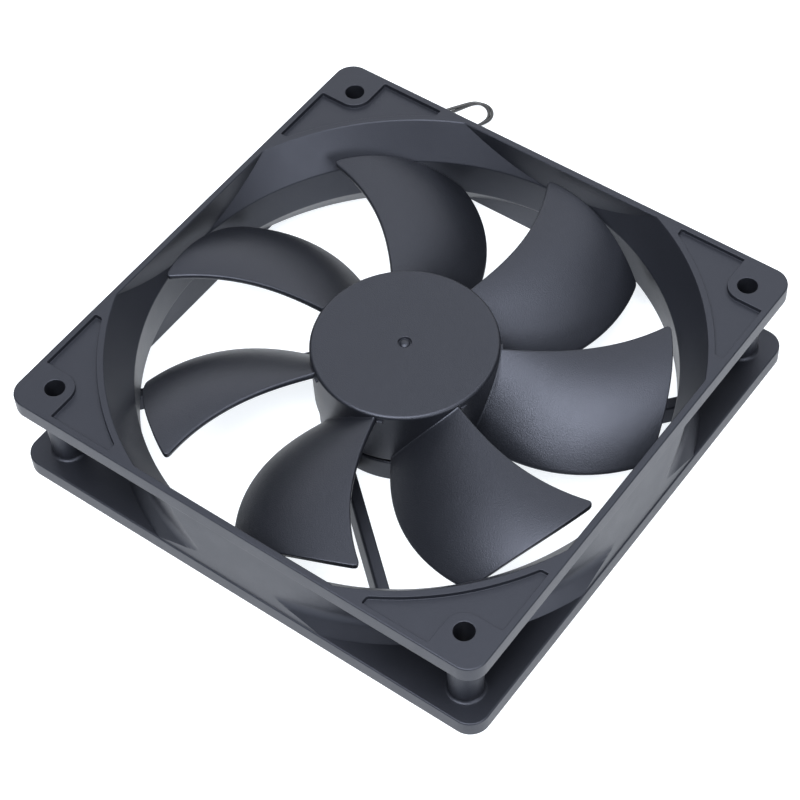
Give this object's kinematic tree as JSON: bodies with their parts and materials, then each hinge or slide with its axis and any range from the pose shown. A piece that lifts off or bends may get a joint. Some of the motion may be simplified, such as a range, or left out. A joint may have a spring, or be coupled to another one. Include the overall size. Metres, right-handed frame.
{
  "type": "case fan",
  "caption": "Square axial case fan with curved overlapping blades on a round hub, a flanged frame, a strutted motor base and a two-wire lead folded into a tied hank.",
  "frame": {"origin": "centre of the outlet face, on the rotor's axis and on the floor that the fan lies on", "axes": "+Z along the rotor's axis, from the outlet (strut) face to the intake face; X and Y along the frame's sides; the lead leaves the +Y side near the -X corner"},
  "size_m": [0.12, 0.1459, 0.025],
  "materials": {
    "frame_plastic": "satin moulded plastic with a fine grain",
    "rotor_plastic": "satin moulded plastic with a soft sheen",
    "steel": "turned and drawn steel",
    "laminations": "stacked silicon-steel sheets",
    "brass": "turned brass",
    "bronze": "oil-filled sintered bronze",
    "ferrite": "dull dark grey bonded ferrite",
    "copper": "enamelled copper wire",
    "nylon": "natural nylon",
    "board": "green solder mask on glass-fibre board",
    "component": "black moulded epoxy",
    "ceramic": "brown ceramic",
    "tinned": "tinned copper alloy",
    "label": "plain satin label film",
    "insulation": "black PVC insulation",
    "black_nylon": "black moulded nylon"
  },
  "bodies": {
    "housing": {"frame": "frame_plastic", "bearing_tube": "brass", "sleeve_bearing": "bronze", "thrust_plate": "nylon", "stator_core": "laminations", "upper_insulator": "nylon", "lower_insulator": "nylon", "winding_1": "copper", "winding_2": "copper", "winding_3": "copper", "winding_4": "copper", "circuit_board": "board", "driver_chip": "component", "hall_sensor": "component", "filter_capacitor": "ceramic", "sense_resistor": "component", "terminal_pin_1": "tinned", "terminal_pin_2": "tinned", "terminal_pin_3": "tinned", "terminal_pin_4": "tinned", "rear_label": "label", "channel_lead": "insulation", "lead": "insulation", "lead_hank": "insulation", "hank_tie": "black_nylon", "lead_tail": "insulation", "connector_housing": "black_nylon", "connector_contact_1": "tinned", "connector_contact_2": "tinned"},
    "rotor": {"impeller": "rotor_plastic", "rotor_yoke": "steel", "magnet_ring": "ferrite", "shaft": "steel", "shaft_insert": "brass", "retaining_clip": "nylon", "oil_ring": "component"}
  },
  "joints": [
    {"name": "rotor_spin", "type": "hinge", "parent": "housing", "child": "rotor", "pos_m": [0, 0, 0], "axis": [0, 0, 1], "continuous": true}
  ]
}
